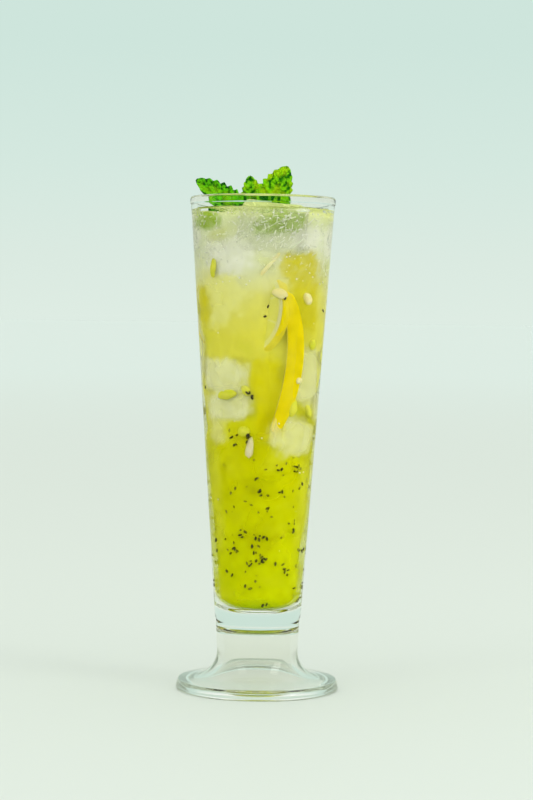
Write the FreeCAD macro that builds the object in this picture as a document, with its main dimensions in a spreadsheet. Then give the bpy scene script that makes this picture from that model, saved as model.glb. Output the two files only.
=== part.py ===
"""Kiwi fruit juice in a tall footed pilsner glass, with an ice cube and a mint sprig at the top.

Millimetres, +Z up. The origin is the middle of the foot, on the surface that the glass stands on.
+X is to the drinker's right and -Y towards the drinker. Every size is a cell of the sheet "Sizes";
only the way that each mint leaf points and looks stands apart, in LEAVES.

The glass is one pressed piece: a tapered bowl with a beaded lip, a thick solid floor and a hollow,
flared foot. The drink fills the bowl in two layers, kiwi pulp below and pale juice above. The juice
is cut round the floating ice cube and the mint, which stand out of it.
"""
import FreeCAD
import Part
import math
import os
import re
import Sketcher
from FreeCAD import Placement, Rotation, Vector

SIZES = {
    # Bowl and lip
    "glass_height": 220.0,
    "rim_radius": 32.4,             # outside of the lip's bead
    "lip_bead": 0.35,               # how far the bead stands out of the bowl
    "lip_height": 3.2,
    "lip_round": 1.2,
    "rim_wall": 2.2,                # wall just under the lip
    "base_wall": 2.8,               # wall at the bottom of the bowl
    "bowl_base_radius": 19.2,       # outside, at the mould line
    "mould_line_height": 32.4,
    "mould_step": 0.4,              # the stem is this much thinner than the bowl where the moulds meet
    "floor_height": 35.4,           # inside of the bowl, at its lowest
    "floor_round": 9.0,
    # Stem and foot
    "stem_radius": 17.6,            # where the stem's line meets the foot's crown
    "crown_height": 7.6,
    "flare_round": 11.0,
    "foot_radius": 36.8,
    "foot_edge_inset": 1.4,         # the foot's edge leans in by this much
    "foot_edge_height": 4.9,
    "foot_round": 1.1,
    "ring_width": 5.3,              # flat ring that the glass stands on
    "ring_bevel": 1.0,
    "foot_recess": 1.4,             # underside of the foot above the ring
    "hollow_wall": 3.6,             # stem's wall round the hollow
    "ceiling_height": 28.2,         # top of the hollow
    "ceiling_round": 3.0,
    "hollow_flare_round": 14.0,
    # Drink
    "headspace": 6.3,               # from the drink's surface up to the rim
    "pulp_depth": 72.0,             # from the bowl's floor up to the mean top of the pulp
    "pulp_tilt": 0.14,              # the pulp lies higher on the left, by this slope
    "pulp_wave": 2.2,               # height of the swells on the pulp's top
    "pulp_swell": 26.0,             # distance from one swell to the next
    # Ice cube that breaks the surface
    "ice_width": 28.0,
    "ice_depth": 20.0,
    "ice_height": 22.0,
    "ice_round": 3.6,
    "ice_proud": 3.2,               # the top's middle above the drink's surface
    "ice_shift": 4.0,               # its middle to the right of the glass's axis
    "ice_tilt": 5.0,
    "ice_gap": 0.8,                 # between its corners and the bowl
    # Mint
    "mint_gap": 6.0,                # from the ice cube's back to the sprig
    "sprig_sunk": 8.0,              # from the drink's surface down to the stem's top
    "sprig_shift": -1.5,            # the stem's middle, from the glass's axis
    "sprig_tilt": 6.0,
    "stem_thickness": 2.2,
    "stem_taper": 1.0,              # angle by which its sides open downwards
    "stem_depth": 20.0,             # how far the sprig's stem reaches down into the drink
    "stalk_gap": 0.3,               # between the stem and the foot of each leaf
    "leaf_mouth": 29.85,            # a mouth of this radius leaves the leaves to point as in LEAVES
    "leaf_thickness": 0.5,
    "leaf_stalk": 0.07,             # stalk, as a share of the leaf's length
    "leaf_teeth": 11.0,             # teeth on each side
    "leaf_tooth": 0.16,             # depth of a tooth, as a share of the half width
    "leaf_fold": 0.22,              # how far its sides rise, as a share of its width
    "leaf_veins": 7.0,              # side veins on each side
    "leaf_vein_slant": 0.35,        # how far they run forwards, as a share of the leaf's length
    "leaf_quilt": 0.35,             # how far the blade swells between its veins
    "right_leaf_length": 30.5,
    "right_leaf_width": 18.0,
    "middle_leaf_length": 26.0,
    "middle_leaf_width": 12.0,
    "left_leaf_length": 35.0,
    "left_leaf_width": 16.0,
}

# Each leaf: the side of the square stem that it grows from, the way its midrib points, the way its
# upper face looks, and how far its tip arches back from that face. In a narrower mouth than
# leaf_mouth the leaves stand steeper, so that they clear the rim.
LEAVES = {
    "right": {"grows": (1, 0), "along": (10.6, -1.0, 28.5), "facing": (-0.3, -1.0, 0.1), "arch": 1.0},
    "middle": {"grows": (0, 1), "along": (-5.0, 7.0, 25.5), "facing": (-0.2, -1.0, 0.25), "arch": 0.6},
    "left": {"grows": (-1, 0), "along": (-27.5, -5.0, 22.5), "facing": (0.1, -1.0, 0.7), "arch": 0.5},
}
LEAF_STEPS = (28, 12)               # steps along and across the grid that a blade is drawn through
LEAF_OVERHANG = (0.02, 0.1)         # how far that grid runs past the outline at its ends and sides
MIDRIB_ROUND = 0.02                 # softens the fold at the midrib
PULP_STEPS = 12                     # steps of the grid that the pulp's top is drawn through

doc = FreeCAD.newDocument("KiwiJuice")


def size_sheet():
    sheet = doc.addObject("Spreadsheet::Sheet", "Sizes")
    for row, (alias, number) in enumerate(SIZES.items(), start=1):
        sheet.set(f"A{row}", alias)
        sheet.set(f"B{row}", str(number))
        sheet.setAlias(f"B{row}", alias)
    doc.recompute()
    return sheet


sheet = size_sheet()


def value(expression):
    """The number that an expression on the sheet's cells gives."""
    return float(sheet.evalExpression(expression))


def bound(expression):
    """The expression as another object needs it, with Sizes. before each cell's name."""
    return re.sub(r"\b[a-z_]{3,}\b(?!\()", lambda word: "Sizes." + word[0], expression)


# Heights and radii that several pieces share, as expressions on the cells.
DRINK_LEVEL = "(glass_height - headspace)"
FLOOR_RADIUS = "(bowl_base_radius - base_wall)"
MOUTH_RADIUS = "(rim_radius - lip_bead - rim_wall)"


def bowl_radius(height):
    """Inside radius of the bowl at a height: its wall runs straight from the floor to the mouth."""
    return f"({FLOOR_RADIUS} + ({height} - floor_height) / (glass_height - floor_height)" \
           f" * ({MOUTH_RADIUS} - {FLOOR_RADIUS}))"


def plane_of(body, role):
    return next(item for item in body.Origin.OriginFeatures if item.Role == role)


def closed_sketch(body, plane, corners):
    """A closed outline of straight lines on one of the body's planes, each corner held to its cells."""
    sketch = body.newObject("Sketcher::SketchObject", body.Name + "_outline")
    sketch.AttachmentSupport = (plane_of(body, plane), "")
    sketch.MapMode = "FlatFace"
    points = [Vector(value(across), value(up), 0) for across, up in corners]
    for start, end in zip(points, points[1:] + points[:1]):
        sketch.addGeometry(Part.LineSegment(start, end), False)
    for index in range(len(points)):
        following = (index + 1) % len(points)
        sketch.addConstraint(Sketcher.Constraint("Coincident", index, 2, following, 1))
    for index, (across, up) in enumerate(corners):
        for kind, axis, expression in (("DistanceX", -2, across), ("DistanceY", -1, up)):
            if expression == "0":
                sketch.addConstraint(Sketcher.Constraint("PointOnObject", index, 1, axis))
                continue
            length = Sketcher.Constraint(kind, -1, 1, index, 1, value(expression))
            held = sketch.addConstraint(length)
            sketch.setExpression(f"Constraints[{held}]", bound(expression))
    return sketch


def rectangle(half_across, half_up):
    return [(half_across, half_up), ("-" + half_across, half_up),
            ("-" + half_across, "-" + half_up), (half_across, "-" + half_up)]


def turned_body(label, corners):
    """A body turned about Z from a closed profile of (radius, height) corners."""
    body = doc.addObject("PartDesign::Body", label)
    sketch = closed_sketch(body, "XZ_Plane", corners)
    turned = body.newObject("PartDesign::Revolution", label + "_turned")
    turned.Profile = sketch
    turned.ReferenceAxis = (sketch, ["V_Axis"])
    turned.Angle = 360
    doc.recompute()
    return body


def round_rings(body, radius, *corners):
    """Round the circular edges that run through the given (radius, height) corners."""
    base = body.Tip
    wanted = [(value(across), value(up)) for across, up in corners]
    names = []
    for number, edge in enumerate(base.Shape.Edges, start=1):
        ring = edge.Curve
        if isinstance(ring, Part.Circle) and any(
                math.dist((ring.Radius, ring.Center.z), corner) < 0.01 for corner in wanted):
            names.append(f"Edge{number}")
    if len(names) != len(wanted):
        raise ValueError(f"{body.Name}: {len(names)} of {len(wanted)} rings found")
    rounding = body.newObject("PartDesign::Fillet", body.Name + "_round")
    rounding.Base = (base, names)
    rounding.setExpression("Radius", bound(radius))
    doc.recompute()


# ---------------------------------------------------------------- the glass

def make_glass():
    bead_radius = "rim_radius"
    neck_radius = "(rim_radius - lip_bead)"
    stem_top = "(bowl_base_radius - mould_step)"
    edge_radius = "(foot_radius - foot_edge_inset)"
    ring_inside = "(foot_radius - ring_width)"
    hollow_radius = "(stem_radius - hollow_wall)"
    hollow_top = f"({stem_top} - hollow_wall)"
    recess_radius = f"({ring_inside} - ring_bevel)"
    crown_underside = "(crown_height - hollow_wall)"
    glass = turned_body("glass", [
        (ring_inside, "0"),
        ("foot_radius", "0"),
        (edge_radius, "foot_edge_height"),
        ("stem_radius", "crown_height"),
        (stem_top, "(mould_line_height - mould_step)"),
        ("bowl_base_radius", "mould_line_height"),
        (neck_radius, "(glass_height - lip_height - lip_bead)"),
        (bead_radius, "(glass_height - lip_height)"),
        (bead_radius, "glass_height"),
        (MOUTH_RADIUS, "glass_height"),
        (FLOOR_RADIUS, "floor_height"),
        ("0", "floor_height"),
        ("0", "ceiling_height"),
        (hollow_top, "ceiling_height"),
        (hollow_radius, crown_underside),
        (recess_radius, "foot_recess"),
    ])
    round_rings(glass, "lip_round", (bead_radius, "glass_height"), (MOUTH_RADIUS, "glass_height"))
    round_rings(glass, "lip_bead", (bead_radius, "(glass_height - lip_height)"),
                (neck_radius, "(glass_height - lip_height - lip_bead)"))
    round_rings(glass, "floor_round", (FLOOR_RADIUS, "floor_height"))
    round_rings(glass, "flare_round", ("stem_radius", "crown_height"))
    round_rings(glass, "foot_round", ("foot_radius", "0"), (edge_radius, "foot_edge_height"))
    round_rings(glass, "ceiling_round", (hollow_top, "ceiling_height"))
    round_rings(glass, "hollow_flare_round", (hollow_radius, crown_underside))
    return glass


# ---------------------------------------------------------------- the drink

def make_filling():
    """All that fills the bowl up to the drink's surface, before it is split and cut."""
    filling = turned_body("filling", [
        ("0", "floor_height"),
        (FLOOR_RADIUS, "floor_height"),
        (bowl_radius(DRINK_LEVEL), DRINK_LEVEL),
        ("0", DRINK_LEVEL),
    ])
    round_rings(filling, "floor_round", (FLOOR_RADIUS, "floor_height"))
    return filling


def pulp_top(across, away):
    """Height of the pulp's uneven top: it leans, and swells in both directions."""
    swell = 2 * math.pi / value("pulp_swell")
    wave = math.sin(swell * across + 0.6) * math.cos(0.8 * swell * away + 0.4)
    return value("floor_height + pulp_depth") - value("pulp_tilt") * across + value("pulp_wave") * wave


def make_pulp_block():
    """A block that holds everything below the pulp's top."""
    reach = value("rim_radius + ice_gap")
    ticks = [reach * (2 * step / PULP_STEPS - 1) for step in range(PULP_STEPS + 1)]
    surface = Part.BSplineSurface()
    surface.interpolate([[Vector(across, away, pulp_top(across, away)) for away in ticks] for across in ticks])
    block = doc.addObject("Part::Feature", "pulp_block")
    block.Shape = surface.toShape().extrude(Vector(0, 0, -value("floor_height + pulp_depth")))
    return block


def ice_middle_away():
    """The cube's middle, so far towards the front that its lower corners clear the bowl."""
    room = f"({bowl_radius(DRINK_LEVEL + ' - ice_height')} - ice_gap)"
    return f"(ice_depth / 2 - sqrt({room}^2 - (ice_width / 2 + ice_shift - ice_round)^2))"


def make_ice_cube():
    """A cube with melted edges that floats close behind the front of the bowl, a little askew."""
    body = doc.addObject("PartDesign::Body", "ice_cube")
    sketch = closed_sketch(body, "XY_Plane", rectangle("ice_width / 2", "ice_depth / 2"))
    block = body.newObject("PartDesign::Pad", "ice_block")
    block.Profile = sketch
    block.Midplane = True
    block.setExpression("Length", bound("ice_height"))
    doc.recompute()
    melted = body.newObject("PartDesign::Fillet", "ice_melted")
    melted.Base = (block, [""])
    melted.UseAllEdges = True
    melted.setExpression("Radius", bound("ice_round"))
    body.Placement = Placement(Vector(), Rotation(Vector(0.3, 1, 0), value("ice_tilt")))
    body.setExpression("Placement.Base.x", bound("ice_shift"))
    body.setExpression("Placement.Base.y", bound(ice_middle_away()))
    body.setExpression("Placement.Base.z", bound(f"{DRINK_LEVEL} + ice_proud - ice_height / 2"))
    doc.recompute()
    return body


# ---------------------------------------------------------------- the mint

def sprig_top():
    behind = value(ice_middle_away()) + value("ice_depth / 2 + mint_gap + stem_thickness / 2")
    return Vector(value("sprig_shift"), behind, value(f"{DRINK_LEVEL} - sprig_sunk"))


def make_mint_stem():
    """A mint stem is square, with rounded corners, and grows thicker downwards."""
    body = doc.addObject("PartDesign::Body", "mint_stem")
    sketch = closed_sketch(body, "XY_Plane", rectangle("stem_thickness / 2", "stem_thickness / 2"))
    shaft = body.newObject("PartDesign::Pad", "stem_shaft")
    shaft.Profile = sketch
    shaft.Reversed = True
    shaft.setExpression("TaperAngle", bound("stem_taper"))
    shaft.setExpression("Length", bound("stem_depth"))
    doc.recompute()
    corners = body.newObject("PartDesign::Fillet", "stem_corners")
    corners.Base = (shaft, [""])
    corners.UseAllEdges = True
    corners.setExpression("Radius", bound("stem_thickness / 5"))
    body.Placement = Placement(sprig_top(), Rotation(Vector(1, 0.4, 0), value("sprig_tilt")))
    doc.recompute()
    return body


def half_width(share, width):
    """Half the leaf's width at a share of its length: slender at the stalk, blunt at the tip."""
    stalk = value("leaf_stalk")
    blade = max(0.0, (share - stalk) / (1 - stalk)) ** 0.8
    return width / 2 * math.sin(math.pi * blade) ** (0.85 if blade < 0.5 else 0.6)


def leaf_outline(length, width):
    """The toothed edge, from the stalk out along one side to the tip and back along the other."""
    teeth = int(value("leaf_teeth"))
    depth = value("leaf_tooth")
    stalk = value("stem_thickness") * 0.35
    side = [(0.0, stalk)]
    for tooth in range(1, teeth):
        valley = tooth / teeth
        crest = min((tooth + 0.7) / teeth, 0.985)
        side.append((valley, max(stalk, half_width(valley, width) * (1 - depth))))
        side.append((crest, half_width(crest, width)))
    upper = [Vector(length * share, half, 0) for share, half in side]
    lower = [Vector(length * share, -half, 0) for share, half in reversed(side)]
    return Part.makePolygon(upper + [Vector(length, 0, 0)] + lower + upper[:1])


def blade_point(share, across, length, width, arch):
    """A point of the blade: folded along the midrib, arched back, and quilted between its veins."""
    aside = abs(across)
    fold = value("leaf_fold") * width * (math.sqrt(aside ** 2 + MIDRIB_ROUND) - math.sqrt(MIDRIB_ROUND))
    veins = math.cos(2 * math.pi * value("leaf_veins") * (share - value("leaf_vein_slant") * aside))
    quilt = value("leaf_quilt") * veins * min(1, 3 * aside) * (1 - share)
    return Vector(share * length, across * width / 2, fold - arch * share ** 2 + quilt)


def make_leaf(side):
    """One mint leaf: a bent blade cut to its toothed outline, then set on the sprig."""
    leaf = LEAVES[side]
    length = value(f"{side}_leaf_length")
    width = value(f"{side}_leaf_width")
    rows, columns = LEAF_STEPS
    beyond, aside = LEAF_OVERHANG
    shares = [(1 + 2 * beyond) * row / rows - beyond for row in range(rows + 1)]
    places = [(1 + aside) * (2 * column / columns - 1) for column in range(columns + 1)]
    surface = Part.BSplineSurface()
    surface.interpolate([[blade_point(share, place, length, width, leaf["arch"]) for place in places]
                         for share in shares])
    blade = surface.toShape().extrude(Vector(0, 0, value("leaf_thickness")))
    plan = Part.Face(leaf_outline(length, width))
    plan.translate(Vector(0, 0, -length))
    feature = doc.addObject("Part::Feature", f"mint_leaf_{side}")
    feature.Shape = blade.common(plan.extrude(Vector(0, 0, 2 * length))).Solids[0]
    away = value("stem_thickness / 2 + stalk_gap")
    foot = Vector(leaf["grows"][0] * away, leaf["grows"][1] * away, 0)
    across, back, rise = leaf["along"]
    spread = value(f"{MOUTH_RADIUS} / leaf_mouth")
    along = Vector(across * spread, back * spread, rise)
    facing = Vector(*leaf["facing"])
    feature.Placement = Placement(sprig_top() + foot, Rotation(along, facing.cross(along), facing, "XZY"))
    return feature


# ---------------------------------------------------------------- the whole

def boolean(kind, label, base, tool):
    feature = doc.addObject("Part::" + kind, label)
    feature.Base = base
    feature.Tool = tool
    doc.recompute()
    return feature


def make_drink(garnish):
    """The pulp and the juice: the filling parted at the pulp's top, the juice cut round the garnish."""
    filling = make_filling()
    block = make_pulp_block()
    pulp = boolean("Common", "kiwi_pulp", filling, block)
    juice = boolean("Cut", "juice_whole", filling, block)
    for item in garnish[:-1]:
        juice = boolean("Cut", "juice_round_" + item.Name, juice, item)
    return pulp, boolean("Cut", "juice", juice, garnish[-1])


def write_parts(pieces):
    for item in doc.Objects:
        if "Invalid" in item.State or "Error" in item.State:
            raise ValueError(f"{item.Name} did not build: {item.State}")
    os.makedirs("parts", exist_ok=True)
    for piece in pieces:
        shape = piece.Shape
        if shape.isNull() or not shape.isValid() or len(shape.Solids) != 1:
            raise ValueError(f"{piece.Label} is not one sound solid")
        shape.exportStep(f"parts/{piece.Label}.step")
        print(f"{piece.Label}: {shape.Volume / 1000:.2f} cm3, box {shape.BoundBox}")


glass = make_glass()
garnish = [make_ice_cube(), make_mint_stem()] + [make_leaf(side) for side in LEAVES]
pulp, juice = make_drink(garnish)
doc.recompute()
write_parts([glass, pulp, juice] + garnish)
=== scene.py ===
"""The looks of kiwi fruit juice in a tall footed pilsner glass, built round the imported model.

Lengths are in millimetres until a mesh is made. The glass stands on the origin, +Z is up and -Y is
the front. A place in the drink is given by its angle from the front in degrees, positive to the
right, by its height, and by its inset from the bowl's wall.
"""
import math
import random

import bmesh
import bpy
from mathutils import Matrix, Quaternion, Vector, noise


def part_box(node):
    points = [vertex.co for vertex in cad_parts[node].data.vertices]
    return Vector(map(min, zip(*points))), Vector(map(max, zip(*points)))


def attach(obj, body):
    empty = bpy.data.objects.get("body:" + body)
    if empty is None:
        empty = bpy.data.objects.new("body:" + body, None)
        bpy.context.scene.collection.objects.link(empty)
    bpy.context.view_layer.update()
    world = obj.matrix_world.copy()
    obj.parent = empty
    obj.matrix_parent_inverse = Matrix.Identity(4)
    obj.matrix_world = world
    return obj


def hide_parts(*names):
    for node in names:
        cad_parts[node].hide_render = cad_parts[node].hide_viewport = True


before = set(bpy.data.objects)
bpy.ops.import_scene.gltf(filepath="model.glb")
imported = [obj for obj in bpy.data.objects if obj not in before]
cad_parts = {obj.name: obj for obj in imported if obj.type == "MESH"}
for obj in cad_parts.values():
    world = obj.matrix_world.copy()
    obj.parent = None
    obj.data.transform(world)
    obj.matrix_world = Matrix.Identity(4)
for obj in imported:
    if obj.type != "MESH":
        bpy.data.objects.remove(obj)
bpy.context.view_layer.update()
MM = 0.001

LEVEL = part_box("juice")[1].z / MM  # the drink's surface
GLASS_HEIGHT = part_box("glass")[1].z / MM
FLOOR_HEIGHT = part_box("kiwi_pulp")[0].z / MM
FLOOR_RADIUS = 16.4
MOUTH_RADIUS = 29.85
PULP_HEIGHT = FLOOR_HEIGHT + 72.0  # mean top of the pulp
WALL_OVERLAP = 0.08  # how far the drink reaches into the glass wall
MENISCUS = 1.3  # how far the drink climbs at the wall
GLASS_SIDES, JUICE_SIDES, CLOUD_SIDES = 240, 192, 160

# Corners of the glass as radius, height and rounding: up the outside, down the inside and the hollow
GLASS_PROFILE = [
    (31.5, 0, 0), (36.8, 0, 1.1), (35.4, 4.9, 1.1), (17.6, 7.6, 11), (18.8, 32.0, 0), (19.2, 32.4, 0),
    (32.05, 216.45, 0.35), (32.4, 216.8, 0.35), (32.4, GLASS_HEIGHT, 1.2),
    (MOUTH_RADIUS, GLASS_HEIGHT, 1.2), (FLOOR_RADIUS, FLOOR_HEIGHT, 9), (0, FLOOR_HEIGHT, 0),
    (0, 28.2, 0), (15.2, 28.2, 3), (14.0, 4.0, 14), (30.5, 1.4, 0)]
FOOT_TOP = 27.0  # below it the glass has no drink behind it

ICE_SIZE = Vector((28.0, 20.0, 22.0))
ICE_ROUND = 3.6
ICE_TURN = Matrix.Rotation(math.radians(5), 3, Vector((0.3, 1, 0)).normalized())
ICE_RISE = 3.2  # how far it stands out of the drink
ICE_CENTRE = Vector((4.0, -12.78, LEVEL + ICE_RISE - ICE_SIZE.z / 2))

SPRIG_TOP = Vector((-1.5, ICE_CENTRE.y + 17.1, LEVEL - 8.0))
LEAF_GAP = 1.4  # from the sprig's middle to the foot of each leaf
LEAF_THICKNESS = 0.42
LEAF_TEETH = 11
LEAF_VEINS = 7
LEAF_STEPS = (132, 44)  # along the leaf and across it

WHEEL_RADIUS = 22.0  # the round lemon slice
WHEEL_PLACE = Vector((-6.6, -8.2, 170))
WHEEL_TURN = Matrix.Rotation(math.radians(-38), 3, "Z") @ Matrix.Rotation(math.radians(86), 3, "X")
WEDGE_HALF_WIDTH = 3.9  # the lemon wedge, whose rind faces the glass
WEDGE_DEPTH = 9.0
WEDGE_FACE = math.radians(24)
WEDGE_STEPS = (60, 30)  # along the wedge and around it

SEED_LENGTH = 1.95
SEED_SHAPE = (1.0, 0.56, 0.42)
BUBBLE_WIDTH = 0.62
SLIVER_LENGTH = 2.2
SLIVER_SHAPE = (1.0, 0.16, 0.12)

# Refractive indices. A thing under the liquid shines less than in air, so its index is lower
GLASS_INDEX = 1.46
JUICE_INDEX = 1.34
SUNK_INDEX = 1.1
WET_LOSS = 0.42  # how much the liquid deepens a colour
PATCH_COVER = 0.94  # how far a patch hides the cloud's own colour
LIGHT_BOUNCES = 32  # light crosses many clear surfaces in the thick glass


# ---------------- meshes

def bowl_radius(height):
    """Inside radius of the bowl at a height."""
    share = (height - FLOOR_HEIGHT) / (GLASS_HEIGHT - FLOOR_HEIGHT)
    return FLOOR_RADIUS + share * (MOUTH_RADIUS - FLOOR_RADIUS)


def in_drink(angle, height, inset):
    """A place in the drink."""
    radius = bowl_radius(height) - inset
    turn = math.radians(angle)
    return Vector((radius * math.sin(turn), -radius * math.cos(turn), height))


def smooth_step(low, high, number):
    """Rises smoothly from 0 to 1 while the number goes from low to high."""
    share = min(1.0, max(0.0, (number - low) / (high - low)))
    return share * share * (3 - 2 * share)


def rounded(corners, run=4.0):
    """The points of a closed outline of (radius, height, rounding) corners, its long runs divided."""
    outline = []
    count = len(corners)
    for index, (across, up, rounding) in enumerate(corners):
        corner = Vector((across, up))
        if not rounding:
            outline.append(corner)
            continue
        before = (Vector(corners[index - 1][:2]) - corner).normalized()
        after = (Vector(corners[(index + 1) % count][:2]) - corner).normalized()
        opening = before.angle(after)
        centre = corner + (before + after).normalized() * rounding / math.sin(opening / 2)
        reach = rounding / math.tan(opening / 2)
        start, end = corner + before * reach - centre, corner + after * reach - centre
        steps = max(3, math.ceil(math.degrees(math.pi - opening) / 7.0))
        for step in range(steps + 1):
            outline.append(centre + start.slerp(end, step / steps).normalized() * rounding)
    divided = []
    for start, end in zip(outline, outline[1:] + outline[:1]):
        runs = 1 if start.x < 0.01 and end.x < 0.01 else max(1, round((end - start).length / run))
        divided += [start.lerp(end, step / runs) for step in range(runs)]
    return divided


def lathed(outline, sides, shape=None, closed=False):
    """Points and faces of an outline turned about Z, from axis to axis or closed on itself."""
    points, rings = [], []
    for radius, height in outline:
        if radius < 0.01:
            rings.append([len(points)])
            points.append(Vector((0, 0, height)))
            continue
        ring = []
        for side in range(sides):
            turn = 2 * math.pi * side / sides
            place = (radius, height) if shape is None else shape(turn, radius, height)
            ring.append(len(points))
            points.append(Vector((place[0] * math.sin(turn), -place[0] * math.cos(turn), place[1])))
        rings.append(ring)
    pairs = list(zip(rings, rings[1:] + rings[:1]))
    faces = []
    for lower, upper in pairs if closed else pairs[:-1]:
        if len(lower) == 1 and len(upper) == 1:
            continue
        for side in range(sides):
            following = (side + 1) % sides
            corners = [lower[side % len(lower)], lower[following % len(lower)],
                       upper[following % len(upper)], upper[side % len(upper)]]
            faces.append(list(dict.fromkeys(corners)))
    return points, faces


def settle(piece, slot, *nodes):
    """Puts a piece on the root body and hides the nodes that it stands for. The slot is not used."""
    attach(piece, "root")
    for node in nodes:
        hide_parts(node)
    return piece


def solid(name, points, faces, finish, slot, *nodes, sharp=60.0):
    """A piece from points in millimetres, its faces outward and smooth up to the sharp angle."""
    mesh = bpy.data.meshes.new(name)
    mesh.from_pydata([tuple(point * MM) for point in points], [], faces)
    work = bmesh.new()
    work.from_mesh(mesh)
    bmesh.ops.recalc_face_normals(work, faces=work.faces)
    work.to_mesh(mesh)
    work.free()
    mesh.shade_smooth()
    mesh.set_sharp_from_angle(angle=math.radians(sharp))
    mesh.materials.append(finish)
    piece = bpy.data.objects.new(name, mesh)
    bpy.context.scene.collection.objects.link(piece)
    return settle(piece, slot, *nodes)


def mark(piece, name, numbers, kind="FLOAT", field="value"):
    """Writes numbers on a piece's points, for its finish to read."""
    piece.data.attributes.new(name, kind, "POINT").data.foreach_set(field, numbers)


# ---------------- node graphs

class Value:
    """A socket in a graph. Sums, products and powers of values add Math nodes."""

    def __init__(self, graph, socket):
        self.graph = graph
        self.socket = socket

    def maths(self, operation, first, second):
        return self.graph.add("ShaderNodeMath", {0: first, 1: second}, operation=operation)

    def __add__(self, other):
        return self.maths("ADD", self, other)

    __radd__ = __add__

    def __sub__(self, other):
        return self.maths("SUBTRACT", self, other)

    def __rsub__(self, other):
        return self.maths("SUBTRACT", other, self)

    def __mul__(self, other):
        return self.maths("MULTIPLY", self, other)

    __rmul__ = __mul__

    def __truediv__(self, other):
        return self.maths("DIVIDE", self, other)

    def __pow__(self, other):
        return self.maths("POWER", self, other)

    def ramp(self, low, high, start=0.0, end=1.0):
        """Rises smoothly from start to end while the value goes from low to high."""
        return self.graph.add("ShaderNodeMapRange", {"Value": self, "From Min": low, "From Max": high,
                                                     "To Min": start, "To Max": end},
                              interpolation_type="SMOOTHSTEP")


class Graph:
    """A node tree, with one method that adds any node."""

    def __init__(self, tree):
        self.tree = tree
        self.tree.nodes.clear()

    def add(self, kind, inputs=None, output=0, stops=None, **settings):
        node = self.tree.nodes.new(kind)
        for setting, chosen in settings.items():
            setattr(node, setting, chosen)
        if stops:
            ramp = node.color_ramp
            while len(ramp.elements) < len(stops):
                ramp.elements.new(1.0)
            for element, (place, colour) in zip(ramp.elements, stops):
                element.position = place
                element.color = colour
        for key, given in (inputs or {}).items():
            if isinstance(given, Value):
                self.tree.links.new(given.socket, node.inputs[key])
            else:
                node.inputs[key].default_value = given
        return Value(self, node.outputs[output]) if node.outputs else node


class Finish(Graph):
    """A material's graph, with its patterns sized in millimetres."""

    def __init__(self, name):
        self.material = bpy.data.materials.new(name)
        self.material.use_nodes = True
        super().__init__(self.material.node_tree)
        self.place = self.add("ShaderNodeTexCoord", output="Object")

    def axes(self):
        return [self.add("ShaderNodeSeparateXYZ", {0: self.place}, output=axis) * 1000 for axis in range(3)]

    def turned_place(self, origin, turn):
        """Object coordinates with their origin and axes on a piece."""
        return self.add("ShaderNodeMapping", {"Vector": self.place, "Location": origin * MM,
                                              "Rotation": turn}, vector_type="TEXTURE")

    def noise(self, size, detail=2.0, roughness=0.5, stretch=(1, 1, 1)):
        stretched = self.add("ShaderNodeVectorMath", {0: self.place, 1: stretch}, operation="MULTIPLY")
        return self.add("ShaderNodeTexNoise", {"Vector": stretched, "Scale": 1000 / size,
                                               "Detail": detail, "Roughness": roughness})

    def cells(self, size, feature="F1", place=None):
        return self.add("ShaderNodeTexVoronoi", {"Vector": place or self.place, "Scale": 1000 / size},
                        feature=feature)

    def blend(self, share, first, second):
        return self.add("ShaderNodeMix", {0: share, 6: first, 7: second}, output=2, data_type="RGBA")

    def bump(self, height, distance, strength=1.0):
        """The height is a pattern of 0 to 1, raised by a distance in millimetres."""
        return self.add("ShaderNodeBump", {"Height": height, "Distance": distance * MM,
                                           "Strength": strength})

    def surface(self, **inputs):
        """Ends the graph in a Principled surface; input names have _ for each space."""
        named = {key.replace("_", " "): given for key, given in inputs.items()}
        return self.end(self.add("ShaderNodeBsdfPrincipled", named))

    def clear(self, shader, tint):
        """Ends the graph in a clear surface that lets lamp light straight through to what lies behind."""
        lit = self.add("ShaderNodeBsdfTransparent", {"Color": tint})
        shadow = self.add("ShaderNodeLightPath", output="Is Shadow Ray")
        return self.end(self.add("ShaderNodeMixShader", {0: shadow, 1: shader, 2: lit}))

    def end(self, shader):
        self.add("ShaderNodeOutputMaterial", {"Surface": shader})
        return self.material


def colour(red, green, blue):
    """A colour as a screen shows it, 0 to 255, as the renderer's linear numbers."""
    def linear(number):
        share = number / 255
        return share / 12.92 if share <= 0.04045 else ((share + 0.055) / 1.055) ** 2.4
    return (linear(red), linear(green), linear(blue), 1.0)


def sunk(red, green, blue):
    """The finish of a thing in the juice that shows this colour: under a wet surface it deepens."""
    return tuple(part / (WET_LOSS + (1 - WET_LOSS) * part) for part in colour(red, green, blue)[:3]) + (1.0,)


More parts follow.
